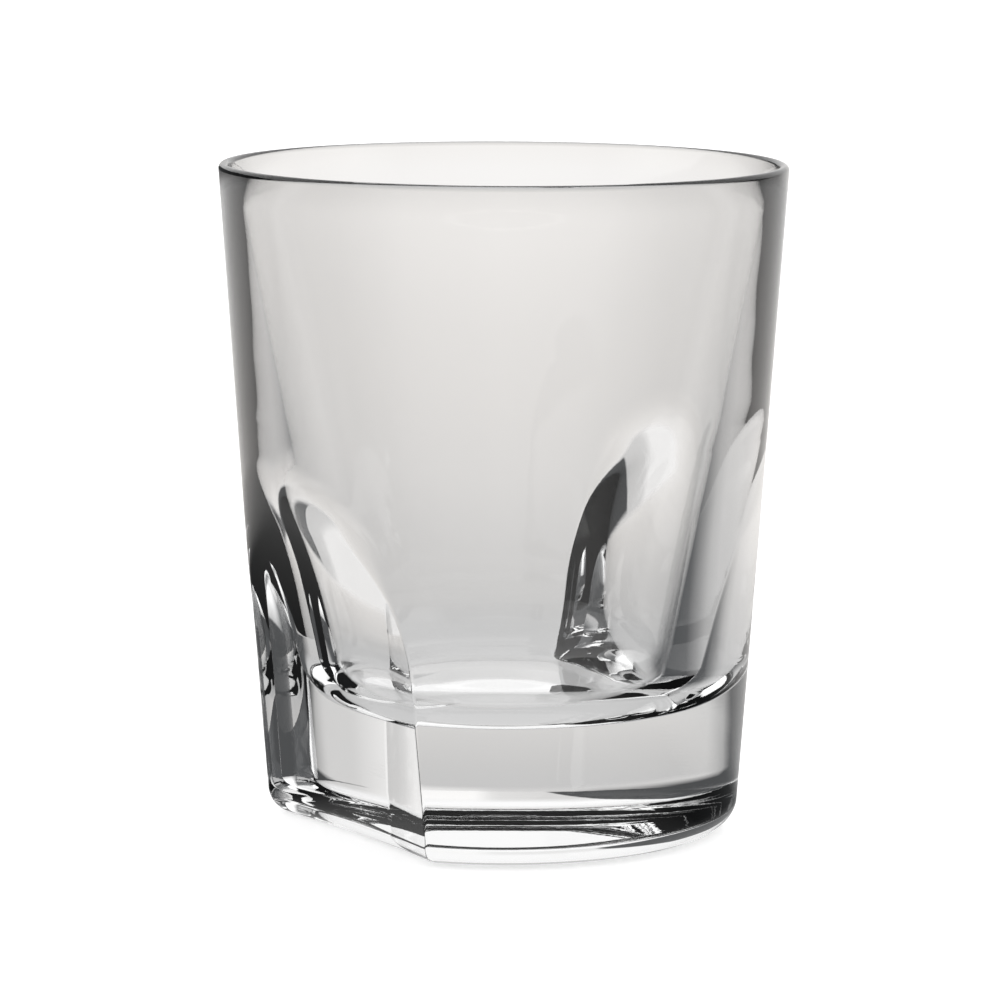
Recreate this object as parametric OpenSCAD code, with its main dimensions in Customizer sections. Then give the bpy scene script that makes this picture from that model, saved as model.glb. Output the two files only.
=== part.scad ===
// Whiskey tumbler: one piece of clear glass with a thick solid foot, straight
// flaring sides, and two wide scoops cut into opposite sides of the lower wall.

/* [Overall] */
// Height from the table to the top of the rim
tumbler_h = 96.2; // [80:0.1:110]
// Outside radius of the straight wall at rim height
rim_r = 41.0; // [35:0.1:48]
// Outside radius of the straight wall at table height, before the edge is rounded
foot_r = 34.2; // [28:0.1:40]
// Rounding where the round wall meets the underside
foot_round_r = 4.0; // [1:0.1:6]

/* [Rim] */
// Radius of the melted, fully rounded lip
lip_r = 0.75; // [0.5:0.05:1.5]

/* [Drinking cavity] */
// Height of the flat cavity floor above the table
floor_z = 18.4; // [12:0.1:26]
// Radius of the cavity wall where its slope would meet the floor
cavity_floor_r = 24.0; // [20:0.1:28]
// Rounding between cavity wall and cavity floor
cavity_round_r = 9.0; // [3:0.1:12]

/* [Side scoops] */
// Number of scoops, evenly spaced round the wall
scoop_count = 2; // [2:1:4]
// Direction of the first scoop, turned clockwise from the front seen from above
scoop_turn = 57; // [0:0.5:90]
// Distance from the glass axis to the middle of a scoop at table height
scoop_mid_d = 25.35; // [20:0.05:30]
// How far the scoop leans outward for each mm of height
scoop_lean = 0.097; // [0:0.001:0.3]
// Plan radius of the hollow across a scoop
scoop_hollow_r = 240; // [60:1:400]
// Height where the scoop starts to curve out through the wall
scoop_shoulder_z = 25.5; // [20:0.1:45]
// Radius of that outward curve, seen from the side
scoop_shoulder_r = 50.0; // [8:0.1:56]
// Rounding where a scoop meets the underside
scoop_round_r = 3.0; // [1:0.1:6]

/* [Underside] */
// Radius of the shallow hollow under the foot
punt_r = 17.5; // [8:0.1:19]
// Depth of the hollow at its centre
punt_depth = 1.2; // [0.3:0.1:3]

/* [Hidden] */
$fn = 180;
punt_fn = 360;
// How far a cutting shape runs past the surface it cuts
overrun = 1;
// Radial width of the wheel rim that is modelled, wider than any cut is deep
wheel_rim_w = 60;
// How far the punt cap is kept outward of the ring where it meets the foot
punt_margin = 4;
wall_tan = (rim_r - foot_r) / tumbler_h;
wall_a = atan(wall_tan);
foot_c = [foot_r + wall_tan * foot_round_r - foot_round_r / cos(wall_a), foot_round_r];
foot_t = [foot_c[0] + foot_round_r * cos(wall_a), foot_c[1] - foot_round_r * sin(wall_a)];
lip_z = tumbler_h - lip_r;
lip_c = [foot_r + wall_tan * lip_z - lip_r / cos(wall_a), lip_z];
lip_out = [lip_c[0] + lip_r * cos(wall_a), lip_c[1] - lip_r * sin(wall_a)];
to_lip = lip_c - [cavity_floor_r, floor_z];
bore_a = atan2(to_lip[0], to_lip[1]) - asin(lip_r / norm(to_lip));
lip_in = [lip_c[0] - lip_r * cos(bore_a), lip_c[1] + lip_r * sin(bore_a)];
round_z = floor_z + cavity_round_r;
bore_at_round = cavity_floor_r + cavity_round_r * tan(bore_a);
round_c = [bore_at_round - cavity_round_r / cos(bore_a), round_z];
round_t = [round_c[0] + cavity_round_r * cos(bore_a), round_z - cavity_round_r * sin(bore_a)];
scoop_axis_d = scoop_mid_d + scoop_hollow_r;
lean_a = atan(scoop_lean);
edge_tz = scoop_round_r * (1 - sin(lean_a));
edge_t = [scoop_hollow_r - scoop_lean * edge_tz, edge_tz];
edge_c = [edge_t[0] + scoop_round_r * cos(lean_a), scoop_round_r];
arch_t = [scoop_hollow_r - scoop_lean * scoop_shoulder_z, scoop_shoulder_z];
arch_c = [arch_t[0] - scoop_shoulder_r * cos(lean_a), arch_t[1] - scoop_shoulder_r * sin(lean_a)];
punt_ball_r = (punt_r * punt_r + punt_depth * punt_depth) / (2 * punt_depth);

// Half section of the solid blank: foot edge, flaring wall and rounded lip.
module blank_section() {
    polygon([
        [0, 0],
        [foot_c[0], 0],
        foot_c,
        foot_t,
        lip_out,
        lip_c,
        lip_in,
        [0, lip_in[1]]
    ]);
    translate(foot_c) {
        circle(r = foot_round_r);
    }
    translate(lip_c) {
        circle(r = lip_r);
    }
}

// Half section of the drinking cavity with its rounded bottom corner.
module cavity_section() {
    polygon([
        [0, floor_z],
        [round_c[0], floor_z],
        round_c,
        round_t,
        lip_in,
        [lip_in[0], tumbler_h + overrun],
        [0, tumbler_h + overrun]
    ]);
    translate(round_c) {
        circle(r = cavity_round_r);
    }
}

// Half section of the round wheel that hollows one scoop. Its lower corner
// leaves a rounded edge on the foot and its shoulder draws the arch.
module wheel_section() {
    difference() {
        union() {
            polygon([
                [scoop_hollow_r - wheel_rim_w, -overrun],
                [edge_c[0], -overrun],
                edge_c,
                edge_t,
                arch_t,
                arch_c,
                [scoop_hollow_r - wheel_rim_w, arch_c[1]]
            ]);
            translate(arch_c) {
                circle(r = scoop_shoulder_r);
            }
        }
        translate(edge_c) {
            circle(r = scoop_round_r);
        }
    }
}

// Cap of a large ball: the shallow hollow that leaves a ring to stand on.
module punt_section() {
    intersection() {
        translate([0, punt_depth - punt_ball_r]) {
            circle(r = punt_ball_r, $fn = punt_fn);
        }
        translate([0, -overrun]) {
            square([punt_r + punt_margin, punt_depth + 2 * overrun]);
        }
    }
}

// The complete tumbler, one piece of clear glass.
module glass_body() {
    color([0.90, 0.94, 0.95, 0.45])
    difference() {
        rotate_extrude() {
            blank_section();
        }
        rotate_extrude() {
            cavity_section();
        }
        for (i = [0 : scoop_count - 1]) {
            rotate([0, 0, -90 - scoop_turn + i * 360 / scoop_count])
            translate([scoop_axis_d, 0, 0])
            rotate_extrude() {
                wheel_section();
            }
        }
        rotate_extrude() {
            punt_section();
        }
    }
}

glass_body();
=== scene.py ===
import math

import bmesh
import bpy
from mathutils import Matrix, Vector


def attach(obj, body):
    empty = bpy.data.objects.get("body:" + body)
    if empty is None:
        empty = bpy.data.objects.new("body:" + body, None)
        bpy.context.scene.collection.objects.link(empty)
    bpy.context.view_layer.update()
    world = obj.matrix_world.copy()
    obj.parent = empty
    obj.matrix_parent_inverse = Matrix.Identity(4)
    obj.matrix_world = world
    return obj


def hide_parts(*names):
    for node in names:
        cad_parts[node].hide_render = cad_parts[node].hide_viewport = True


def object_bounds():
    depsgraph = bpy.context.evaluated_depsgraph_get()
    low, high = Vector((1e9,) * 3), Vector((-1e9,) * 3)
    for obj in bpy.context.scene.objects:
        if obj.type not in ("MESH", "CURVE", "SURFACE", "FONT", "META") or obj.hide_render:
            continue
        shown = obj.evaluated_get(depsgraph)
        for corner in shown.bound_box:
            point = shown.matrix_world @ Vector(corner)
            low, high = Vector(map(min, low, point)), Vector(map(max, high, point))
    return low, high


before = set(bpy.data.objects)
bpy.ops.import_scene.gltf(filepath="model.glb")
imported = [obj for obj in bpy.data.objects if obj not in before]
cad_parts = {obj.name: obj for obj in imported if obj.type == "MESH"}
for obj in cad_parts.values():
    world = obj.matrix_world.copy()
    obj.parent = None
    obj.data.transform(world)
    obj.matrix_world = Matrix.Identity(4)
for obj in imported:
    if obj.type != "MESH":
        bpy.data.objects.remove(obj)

cad_low, cad_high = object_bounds()


# ---------------------------------------------------------------- the glass
# The tumbler is one piece of clear glass, pressed hot in a mould: a thick
# solid foot, a wall that thins towards the rim, and a lip melted round. Two
# wide scoops are cut into opposite sides of the lower wall and polished.

MM = 0.001
height = cad_high[2] - cad_low[2]
rim_height = 96.2 * MM
rim_radius = 41.0 * MM            # straight wall, carried up to rim height
foot_radius = 34.2 * MM           # straight wall, carried down to the table
wall_flare = (rim_radius - foot_radius) / rim_height
foot_round = 4.0 * MM
lip_round = 0.75 * MM
floor_height = 18.4 * MM
cavity_foot_radius = 24.0 * MM    # cavity wall, carried down to the floor
cavity_round = 9.0 * MM
punt_radius = 17.5 * MM           # the shallow hollow under the foot
punt_depth = 1.2 * MM


def arc(centre, radius, start, end, steps):
    """Points of an arc in the half section, without its first point. Angles in radians from outward."""
    turns = [start + (end - start) * i / steps for i in range(1, steps + 1)]
    return [(centre[0] + radius * math.cos(a), centre[1] + radius * math.sin(a)) for a in turns]


def line(start, end, steps):
    """Points of a straight run in the half section, without its first point."""
    shares = [i / steps for i in range(1, steps + 1)]
    return [(start[0] + (end[0] - start[0]) * s, start[1] + (end[1] - start[1]) * s) for s in shares]


def wall_radius(z):
    """Distance from the axis of the glass to its straight wall at height z."""
    return foot_radius + wall_flare * z


# The half section runs from the middle of the underside, round the foot, up
# the wall, over the lip and down the cavity to the middle of its floor.
wall_tilt = math.atan(wall_flare)
foot_centre = (wall_radius(foot_round) - foot_round / math.cos(wall_tilt), foot_round)
lip_height = height - lip_round
lip_centre = (wall_radius(lip_height) - lip_round / math.cos(wall_tilt), lip_height)
reach = Vector(lip_centre) - Vector((cavity_foot_radius, floor_height))
cavity_tilt = math.atan2(reach.x, reach.y) - math.asin(lip_round / reach.length)
corner_height = floor_height + cavity_round
corner_centre = (cavity_foot_radius + cavity_round * math.tan(cavity_tilt)
                 - cavity_round / math.cos(cavity_tilt), corner_height)
punt_ball = (punt_radius ** 2 + punt_depth ** 2) / (2 * punt_depth)
punt_angle = math.asin(punt_radius / punt_ball)
scoop_base = 25 * MM              # below this the scoops run straight
scoop_top = 58 * MM               # above this the wall is plain

section = [(0.0, punt_depth)]
section += arc((0, punt_depth - punt_ball), punt_ball, math.pi / 2, math.pi / 2 - punt_angle, steps=10)
section += line(section[-1], (foot_centre[0], 0.0), steps=6)
section += arc(foot_centre, foot_round, -math.pi / 2, -wall_tilt, steps=12)
section += line(section[-1], (wall_radius(scoop_base), scoop_base), steps=12)
section += line(section[-1], (wall_radius(scoop_top), scoop_top), steps=60)
lip_outer = (lip_centre[0] + lip_round * math.cos(wall_tilt),
             lip_centre[1] - lip_round * math.sin(wall_tilt))
section += line(section[-1], lip_outer, steps=12)
section += arc(lip_centre, lip_round, -wall_tilt, math.pi - cavity_tilt, steps=12)
corner_top = (corner_centre[0] + cavity_round * math.cos(cavity_tilt),
              corner_centre[1] - cavity_round * math.sin(cavity_tilt))
section += line(section[-1], corner_top, steps=16)
section += arc(corner_centre, cavity_round, -cavity_tilt, -math.pi / 2, steps=14)
section += line(section[-1], (0.0, floor_height), steps=5)

steps_round = 480
weld = 1e-7                       # points nearer than this become one
glass_mesh = bmesh.new()
ring = [glass_mesh.verts.new((r, 0.0, z)) for r, z in section]
edges = [glass_mesh.edges.new(pair) for pair in zip(ring, ring[1:])]
bmesh.ops.spin(glass_mesh, geom=ring + edges, cent=(0, 0, 0), axis=(0, 0, 1),
               angle=2 * math.pi, steps=steps_round, use_merge=True)
bmesh.ops.remove_doubles(glass_mesh, verts=glass_mesh.verts, dist=weld)

# The scoops. Each is what a round wheel on an upright axis leaves: slightly
# hollow across, leaning out with the wall, and curving out through it at the
# top. The edges are crisp near the foot and melt softly into the wall above.
scoop_turns = [math.radians(-57), math.radians(123)]
wheel_radius = 240 * MM
scoop_depth = 25.35 * MM          # axis of the glass to the scoop, at the table
scoop_lean = 0.097
shoulder_height = 25.5 * MM
shoulder_radius = 50.0 * MM
scoop_round = 3.0 * MM
edge_crisp = 0.30 * MM            # how wide the creases melt, low down
edge_soft = 3.2 * MM              # and at the top of each arch
melt_start = 36 * MM
melt_full = 48 * MM
wheel_axis = scoop_depth + wheel_radius


def smooth_step(low, high, value):
    """0 below low, 1 above high, and an even S between them."""
    share = min(max((value - low) / (high - low), 0.0), 1.0)
    return share * share * (3 - 2 * share)


def round_off(radius, z):
    """How far a rounding of this radius draws a wall in at height z above the table."""
    up = min(max(radius - z, 0.0), radius)
    return radius - math.sqrt(radius * radius - up * up)


def scoop_middle(z):
    """Distance from the axis of the glass to the middle of a scoop at height z."""
    rise = max(z - shoulder_height, 0.0)
    if rise >= shoulder_radius:
        return None
    shoulder = shoulder_radius - math.sqrt(shoulder_radius ** 2 - rise ** 2)
    return scoop_depth + scoop_lean * z + shoulder - round_off(scoop_round, z)


def scoop_radius(turn, z):
    """Distance from the axis of the glass to a scoop's surface, at this turn from its middle."""
    middle = scoop_middle(z)
    if middle is None or math.cos(turn) <= 0:
        return None
    wheel = wheel_axis - middle
    inside = wheel ** 2 - (wheel_axis * math.sin(turn)) ** 2
    if inside <= 0:
        return None
    return wheel_axis * math.cos(turn) - math.sqrt(inside)


def scoop_half_turn(z):
    """The turn from a scoop's middle to the crease where it meets the round wall."""
    middle = scoop_middle(z)
    if middle is None:
        return 0.0
    plain = wall_radius(z) - round_off(foot_round, z)
    wheel = wheel_axis - middle
    cosine = (wheel_axis ** 2 + plain ** 2 - wheel ** 2) / (2 * wheel_axis * plain)
    return math.acos(min(max(cosine, -1.0), 1.0))


def soft_least(a, b, width):
    """The lesser of two radii, with the corner between them rounded over this width."""
    share = min(max(0.5 + 0.5 * (b - a) / width, 0.0), 1.0)
    return b + (a - b) * share - width * share * (1 - share)


def outer_radius(turn, z):
    """Distance from the axis of the glass to its outside, scoops included."""
    radius = wall_radius(z) - round_off(foot_round, z)
    softness = edge_crisp + (edge_soft - edge_crisp) * smooth_step(melt_start, melt_full, z)
    for scoop_turn in scoop_turns:
        cut = scoop_radius(turn - scoop_turn, z)
        if cut is not None:
            radius = soft_least(radius, cut, softness)
    return radius


quarter = math.pi / 4
crowding = 0.75                   # how strongly the mesh gathers at the creases


def gather(share):
    """Moves -1..1 towards its ends, so that more of the mesh lies beside a crease."""
    return (1 - crowding) * share + crowding * math.sin(share * math.pi / 2)


def gathered_turn(turn, half, amount):
    """An even turn from a scoop's middle, moved so that the mesh follows the crease at half."""
    side = math.copysign(1.0, turn)
    if abs(turn) <= quarter:
        moved = half * gather(turn / quarter)
    else:
        moved = side * (math.pi / 2 + (math.pi / 2 - half) * gather((abs(turn) - 2 * quarter) / quarter))
    return turn + (moved - turn) * amount


def nearest_scoop(turn):
    """Which scoop this turn belongs to, and the turn from that scoop's middle."""
    for scoop_turn in scoop_turns:
        away = (turn - scoop_turn + math.pi) % (2 * math.pi) - math.pi
        if abs(away) <= math.pi / 2 + 1e-9:
            return scoop_turn, away


gather_full = 38 * MM             # up to here the mesh follows the creases
gather_none = 66 * MM             # and from here it is even again
crease_top = 44 * MM              # above this the mesh keeps the crease's place
hair = 1e-6                       # slack when sorting points by radius or height
for vert in glass_mesh.verts:
    radius = math.hypot(vert.co.x, vert.co.y)
    z = vert.co.z
    turn = math.atan2(vert.co.x, -vert.co.y)
    on_wall = z < lip_height and radius > wall_radius(z) - round_off(foot_round, z) - hair
    under_foot = z < hair and radius > punt_radius + hair
    if not (on_wall or under_foot):
        continue
    scoop_turn, away = nearest_scoop(turn)
    if under_foot:
        spread = (radius - punt_radius) / (foot_centre[0] - punt_radius)
        turn = scoop_turn + gathered_turn(away, scoop_half_turn(0.0), spread)
        radius = punt_radius + spread * (outer_radius(turn, 0.0) - punt_radius)
    else:
        grip = 1 - smooth_step(gather_full, gather_none, z)
        half = scoop_half_turn(min(z, crease_top))
        turn = scoop_turn + gathered_turn(away, half, grip)
        radius = outer_radius(turn, z)
    vert.co.x = radius * math.sin(turn)
    vert.co.y = -radius * math.cos(turn)

bmesh.ops.recalc_face_normals(glass_mesh, faces=glass_mesh.faces)
for face in glass_mesh.faces:
    face.smooth = True
tumbler_mesh = bpy.data.meshes.new("tumbler")
glass_mesh.to_mesh(tumbler_mesh)
glass_mesh.free()
tumbler = bpy.data.objects.new("tumbler", tumbler_mesh)
bpy.context.scene.collection.objects.link(tumbler)


# Pressed glass is never quite even: the skin has a slow, shallow waviness from
# the mould, and faint marks that run round it from the polishing felt.
def add_node(tree, kind, **settings):
    """A new shader node with these settings."""
    node = tree.nodes.new(kind)
    for name, value in settings.items():
        setattr(node, name, value)
    return node


def pressed_skin_group():
    """Height of the mould's waviness and of the polishing marks, and the roughness they leave."""
    group = bpy.data.node_groups.new("pressed_skin", "ShaderNodeTree")
    face = group.interface
    for name, value in (("Wave Size", 60.0), ("Wave Amount", 1.0), ("Felt Size", 900.0),
                        ("Felt Amount", 0.1), ("Smoothest", 0.0), ("Roughest", 0.02)):
        socket = face.new_socket(name, in_out="INPUT", socket_type="NodeSocketFloat")
        socket.default_value = value
    face.new_socket("Height", in_out="OUTPUT", socket_type="NodeSocketFloat")
    face.new_socket("Roughness", in_out="OUTPUT", socket_type="NodeSocketFloat")
    start = add_node(group, "NodeGroupInput")
    end = add_node(group, "NodeGroupOutput")
    place = add_node(group, "ShaderNodeTexCoord")
    waves = add_node(group, "ShaderNodeTexNoise", noise_dimensions="3D")
    waves.inputs["Detail"].default_value = 1.0
    felt = add_node(group, "ShaderNodeTexNoise", noise_dimensions="3D")
    felt.inputs["Detail"].default_value = 2.0
    along = add_node(group, "ShaderNodeMapping")
    along.inputs["Scale"].default_value = (1.0, 1.0, 6.0)
    wave_height = add_node(group, "ShaderNodeMath", operation="MULTIPLY")
    felt_height = add_node(group, "ShaderNodeMath", operation="MULTIPLY")
    total = add_node(group, "ShaderNodeMath", operation="ADD")
    rough = add_node(group, "ShaderNodeMapRange")
    rough.inputs["From Min"].default_value = 0.35
    rough.inputs["From Max"].default_value = 0.75
    link = group.links.new
    link(place.outputs["Object"], waves.inputs["Vector"])
    link(place.outputs["Object"], along.inputs["Vector"])
    link(along.outputs["Vector"], felt.inputs["Vector"])
    link(start.outputs["Wave Size"], waves.inputs["Scale"])
    link(start.outputs["Felt Size"], felt.inputs["Scale"])
    link(waves.outputs["Fac"], wave_height.inputs[0])
    link(start.outputs["Wave Amount"], wave_height.inputs[1])
    link(felt.outputs["Fac"], felt_height.inputs[0])
    link(start.outputs["Felt Amount"], felt_height.inputs[1])
    link(wave_height.outputs[0], total.inputs[0])
    link(felt_height.outputs[0], total.inputs[1])
    link(felt.outputs["Fac"], rough.inputs["Value"])
    link(start.outputs["Smoothest"], rough.inputs["To Min"])
    link(start.outputs["Roughest"], rough.inputs["To Max"])
    link(total.outputs[0], end.inputs["Height"])
    link(rough.outputs["Result"], end.inputs["Roughness"])
    return group


clear_glass = bpy.data.materials.new("clear_glass")
clear_glass.use_nodes = True
tree = clear_glass.node_tree
surface = tree.nodes["Principled BSDF"]
surface.inputs["Base Color"].default_value = (1.0, 1.0, 1.0, 1.0)
surface.inputs["IOR"].default_value = 1.52
surface.inputs["Transmission Weight"].default_value = 1.0
skin = add_node(tree, "ShaderNodeGroup", node_tree=pressed_skin_group())
for name, value in (("Wave Size", 70.0), ("Wave Amount", 1.0), ("Felt Size", 500.0),
                    ("Felt Amount", 0.02), ("Smoothest", 0.0), ("Roughest", 0.015)):
    skin.inputs[name].default_value = value
relief = add_node(tree, "ShaderNodeBump")
relief.inputs["Strength"].default_value = 1.0
relief.inputs["Distance"].default_value = 0.03 * MM
tree.links.new(skin.outputs["Height"], relief.inputs["Height"])
tree.links.new(relief.outputs["Normal"], surface.inputs["Normal"])
tree.links.new(skin.outputs["Roughness"], surface.inputs["Roughness"])
tumbler_mesh.materials.append(clear_glass)

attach(tumbler, "root")
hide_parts("glass_body")


# ---------------------------------------------------------------- the camera
# A long lens in front of the glass and a little above its rim. It is tipped
# slightly down, so that the near edge of the foot shows as a curve, and the
# far side of the rim above the near side.
camera_aside = -0.35 * MM
camera_distance = 700 * MM
camera_height = 151.8 * MM
tip_down = math.radians(8.5)
camera_roll = math.radians(0.25)
camera_data = bpy.data.cameras.new("camera")
camera_data.sensor_width = 36.0
camera_data.lens = 175.7
camera_data.clip_start = 0.01
camera = bpy.data.objects.new("camera", camera_data)
camera.matrix_world = (Matrix.Translation((camera_aside, -camera_distance, camera_height))
                       @ Matrix.Rotation(math.pi / 2 - tip_down, 4, "X")
                       @ Matrix.Rotation(camera_roll, 4, "Z"))
bpy.context.scene.collection.objects.link(camera)
bpy.context.scene.camera = camera


# ---------------------------------------------------------------- the studio
# A white table under soft light. Seen straight, the table is plain and pale.
# Seen through the glass its glowing colour is painted light and shade: brightest
# far behind, with a painted shadow of the glass round the foot, painted shade at
# both sides, and fairly light in front: these tones are what draws the shape of clear glass.
def grey(level, warmth=0.0):
    """A grey of this brightness; warmth above 0 leans it to red, below 0 to blue."""
    return (level * (1 + warmth), level, level * (1 - warmth))


def worked_out(tree, operation, *values, clamp=False):
    """A number worked out from other numbers or sockets."""
    node = add_node(tree, "ShaderNodeMath", operation=operation, use_clamp=clamp)
    for socket, value in zip(node.inputs, values):
        if isinstance(value, (int, float)):
            socket.default_value = value
        else:
            tree.links.new(value, socket)
    return node.outputs[0]


def ramp(tree, share, stops, low, high):
    """A colour for each value between low and high; share is the value's place between them."""
    node = add_node(tree, "ShaderNodeValToRGB")
    keys = node.color_ramp.elements
    keys.remove(keys[1])
    for i, (value, colour) in enumerate(stops):
        place = (value - low) / (high - low)
        key = keys[0] if i == 0 else keys.new(place)
        key.position = place
        key.color = (*colour, 1.0)
    tree.links.new(share, node.inputs["Fac"])
    return node.outputs["Color"]


def tone_mix(tree, share, first, second):
    """The first colour where share is 0, the second where it is 1."""
    node = add_node(tree, "ShaderNodeMix", data_type="RGBA")
    tree.links.new(share, node.inputs["Factor"])
    for socket, value in ((node.inputs[6], first), (node.inputs[7], second)):
        if isinstance(value, tuple):
            socket.default_value = (*value, 1.0)
        else:
            tree.links.new(value, socket)
    return node.outputs[2]


def bearing_of(tree, parts):
    """The bearing of a place or a direction, in half turns to the right of straight behind the glass."""
    angle = worked_out(tree, "ARCTAN2", parts.outputs[0], parts.outputs[1])
    return worked_out(tree, "DIVIDE", angle, math.pi)


table_white = bpy.data.materials.new("table_white")
table_white.use_nodes = True
tree = table_white.node_tree
paint = tree.nodes["Principled BSDF"]
paint.inputs["Base Color"].default_value = (0.9, 0.9, 0.9, 1.0)
paint.inputs["Roughness"].default_value = 0.6
paint.inputs["Emission Color"].default_value = (1.0, 1.0, 1.0, 1.0)
paint.inputs["Emission Strength"].default_value = 0.50
place = add_node(tree, "ShaderNodeTexCoord")
parts = add_node(tree, "ShaderNodeSeparateXYZ")
tree.links.new(place.outputs["Object"], parts.inputs[0])
away = worked_out(tree, "SQRT", worked_out(
    tree, "ADD", worked_out(tree, "MULTIPLY", parts.outputs[0], parts.outputs[0]),
    worked_out(tree, "MULTIPLY", parts.outputs[1], parts.outputs[1])))
# Painted shadow of the glass on the table: the glowing tone seen through the glass is darkest near the
# foot and brightens to white far away.
painted_shadow_by_distance = ramp(tree, away, [
    (0.0, grey(0.66)), (0.034, grey(0.62)), (0.056, grey(0.58)), (0.094, grey(0.61, 0.01)),
    (0.134, grey(0.66, 0.015)), (0.175, grey(0.73, 0.02)), (0.23, grey(0.77, 0.025)),
    (0.28, grey(0.80, 0.025)), (0.35, grey(0.86, 0.025)), (0.50, grey(0.94, 0.02)), (1.0, grey(1.0)),
], 0.0, 1.0)
# Painted shade at both sides of the table: the glowing tone seen through the glass is darkened towards the
# left and right.
painted_side_shade = ramp(tree, worked_out(tree, "ABSOLUTE", bearing_of(tree, parts)), [
    (0, grey(0.0)), (50, grey(0.0)), (59, grey(0.2)), (67, grey(0.6)), (76, grey(0.95)), (90, grey(1.0)),
    (112, grey(1.0)), (140, grey(0.3)), (180, grey(0.1)),
], 0, 180)
shade_start = 32 * MM             # nearer the axis, under the foot, the painted side shade fades out
shade_fade = 10 * MM
clear_of_foot = worked_out(tree, "MULTIPLY_ADD", away, 1 / shade_fade, -shade_start / shade_fade,
                           clamp=True)
# The table's glowing tone through the glass: the painted shadow by distance, darkened by the painted side
# shade away from the foot.
painted_table_tone = tone_mix(tree, worked_out(tree, "MULTIPLY", painted_side_shade, clear_of_foot), painted_shadow_by_distance, grey(0.09, -0.04))
glow = add_node(tree, "ShaderNodeEmission")
tree.links.new(painted_table_tone, glow.inputs["Color"])
nothing = add_node(tree, "ShaderNodeBsdfTransparent")
slant = add_node(tree, "ShaderNodeLayerWeight")
skimming = add_node(tree, "ShaderNodeMapRange")
tree.links.new(slant.outputs["Facing"], skimming.inputs["Value"])
skim_start, skim_end = 0.892, 0.912   # how flat a look is when the table gives way to the room
skimming.inputs["From Min"].default_value = skim_start
skimming.inputs["From Max"].default_value = skim_end
through_glass = add_node(tree, "ShaderNodeMixShader")
tree.links.new(skimming.outputs["Result"], through_glass.inputs["Fac"])
tree.links.new(glow.outputs[0], through_glass.inputs[1])
tree.links.new(nothing.outputs[0], through_glass.inputs[2])
ray_kind = add_node(tree, "ShaderNodeLightPath")
straight = worked_out(tree, "MAXIMUM", ray_kind.outputs["Is Camera Ray"],
                      ray_kind.outputs["Is Diffuse Ray"])
either = add_node(tree, "ShaderNodeMixShader")
tree.links.new(straight, either.inputs["Fac"])
tree.links.new(through_glass.outputs[0], either.inputs[1])
tree.links.new(paint.outputs[0], either.inputs[2])
tree.links.new(either.outputs[0], tree.nodes["Material Output"].inputs["Surface"])

table_half = 8.0                  # half the table's side, in metres
table_back = 4.0                  # how far its middle lies behind the glass
table_level = cad_low[2] - 0.05 * MM
table_top = bmesh.new()
bmesh.ops.create_grid(table_top, x_segments=1, y_segments=1, size=table_half)
bmesh.ops.translate(table_top, verts=table_top.verts, vec=(0.0, table_back, table_level))
table_mesh = bpy.data.meshes.new("table")
table_top.to_mesh(table_mesh)
table_top.free()
table_mesh.materials.append(table_white)
table = bpy.data.objects.new("table", table_mesh)
bpy.context.scene.collection.objects.link(table)

# The room above the table: white behind, soft boxes at the sides and overhead,
# darkness round the camera, and a dark gap low down that is closed at the back.
room = bpy.data.worlds.new("studio")
bpy.context.scene.world = room
room.use_nodes = True
tree = room.node_tree
tree.nodes.clear()
view_ray = add_node(tree, "ShaderNodeTexCoord")
parts = add_node(tree, "ShaderNodeSeparateXYZ")
tree.links.new(view_ray.outputs["Generated"], parts.inputs[0])
bearing = bearing_of(tree, parts)
from_back = worked_out(tree, "ABSOLUTE", bearing)
around = worked_out(tree, "MULTIPLY_ADD", bearing, 0.5, 0.5)
climb = worked_out(tree, "MULTIPLY_ADD", worked_out(tree, "ARCSINE", parts.outputs[2]), 1 / math.pi, 0.5)

low_light = ramp(tree, around, [
    (-180, grey(0.72, 0.01)), (-6, grey(0.72, 0.01)), (1, grey(0.76, 0.01)), (4, grey(1.0, 0.01)),
    (26, grey(1.0, 0.01)), (36, grey(0.72, 0.01)), (180, grey(0.72, 0.01)),
], -180, 180)
high_up = ramp(tree, climb, [(-90, grey(0.0)), (3, grey(0.0)), (9, grey(1.0)), (90, grey(1.0))], -90, 90)
backdrop = tone_mix(tree, high_up, low_light, grey(1.0))
side_boxes = ramp(tree, climb, [
    (-90, grey(0.30)), (-12, grey(0.12, -0.03)), (3, grey(0.13, -0.03)), (9, grey(0.40)), (14, grey(0.75)),
    (20, grey(1.10)), (28, grey(1.40)), (45, grey(1.40)), (90, grey(1.0)),
], -90, 90)
camera_side = ramp(tree, climb, [
    (-90, grey(0.30)), (-12, grey(0.12, -0.03)), (30, grey(0.10, -0.03)), (38, grey(0.22)),
    (45, grey(0.60)), (55, grey(0.95)), (90, grey(1.0)),
], -90, 90)
to_side = ramp(tree, from_back, [(0, grey(0.0)), (46, grey(0.0)), (76, grey(1.0))], 0, 180)
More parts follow.
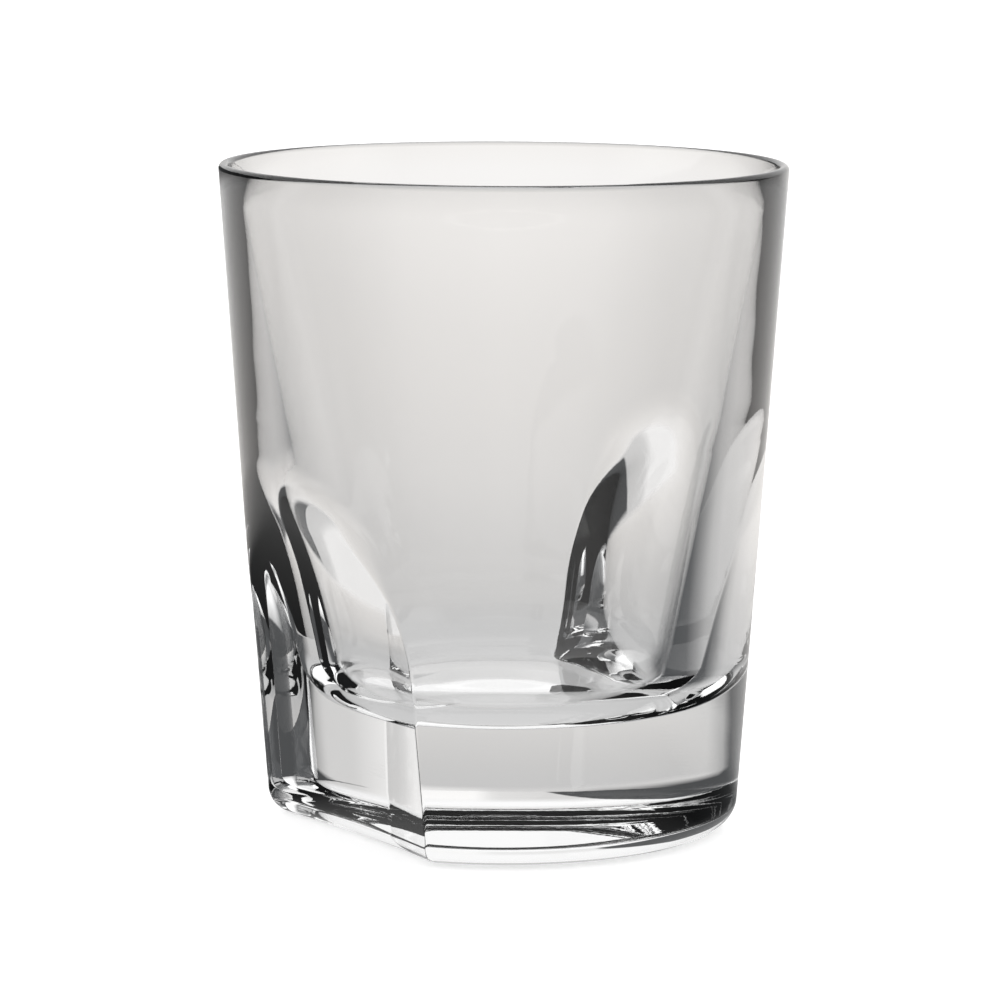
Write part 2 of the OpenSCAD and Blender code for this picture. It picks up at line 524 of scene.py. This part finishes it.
to_camera = ramp(tree, from_back, [(0, grey(0.0)), (112, grey(0.0)), (135, grey(1.0))], 0, 180)
open_room = tone_mix(tree, to_camera, tone_mix(tree, to_side, backdrop, side_boxes), camera_side)


def height_place(angle):
    """An angle above the table in degrees, as its place between straight down and straight up."""
    return grey((angle + 90) / 180)


gap_top = ramp(tree, around, [
    (-90, height_place(15)), (-55, height_place(20)), (-36, height_place(17)), (-16, height_place(6.3)),
    (-10, height_place(0)), (-4, height_place(-8)), (24, height_place(-8)), (34, height_place(-0.6)),
    (42, height_place(0)), (60, height_place(6)), (90, height_place(12)),
], -180, 180)
gap_foot = ramp(tree, around, [
    (-90, height_place(-8)), (-55, height_place(-4.5)), (-36, height_place(-5.3)),
    (-16, height_place(-5.8)), (-4, height_place(-5)), (24, height_place(-2.3)),
    (42, height_place(-2.3)), (60, height_place(-4)), (90, height_place(-8)),
], -180, 180)
gap_edge = 1.2                    # degrees over which the gap's edges fade
edge_sharpness = 180 / gap_edge
room_below = worked_out(tree, "SUBTRACT", gap_top, climb)
room_above = worked_out(tree, "SUBTRACT", climb, gap_foot)
under_top = worked_out(tree, "MULTIPLY", room_below, edge_sharpness, clamp=True)
over_foot = worked_out(tree, "MULTIPLY", room_above, edge_sharpness, clamp=True)
gap = worked_out(tree, "MULTIPLY", under_top, over_foot)
whole_room = tone_mix(tree, gap, open_room, grey(0.075, -0.03))

seen = add_node(tree, "ShaderNodeBackground")
tree.links.new(whole_room, seen.inputs["Color"])
plain = add_node(tree, "ShaderNodeBackground")
plain.inputs["Color"].default_value = (1.0, 1.0, 1.0, 1.0)
ray_kind = add_node(tree, "ShaderNodeLightPath")
either = add_node(tree, "ShaderNodeMixShader")
world_out = add_node(tree, "ShaderNodeOutputWorld")
tree.links.new(ray_kind.outputs["Is Camera Ray"], either.inputs["Fac"])
tree.links.new(seen.outputs[0], either.inputs[1])
tree.links.new(plain.outputs[0], either.inputs[2])
tree.links.new(either.outputs[0], world_out.inputs["Surface"])

bpy.context.scene.view_settings.view_transform = "Standard"
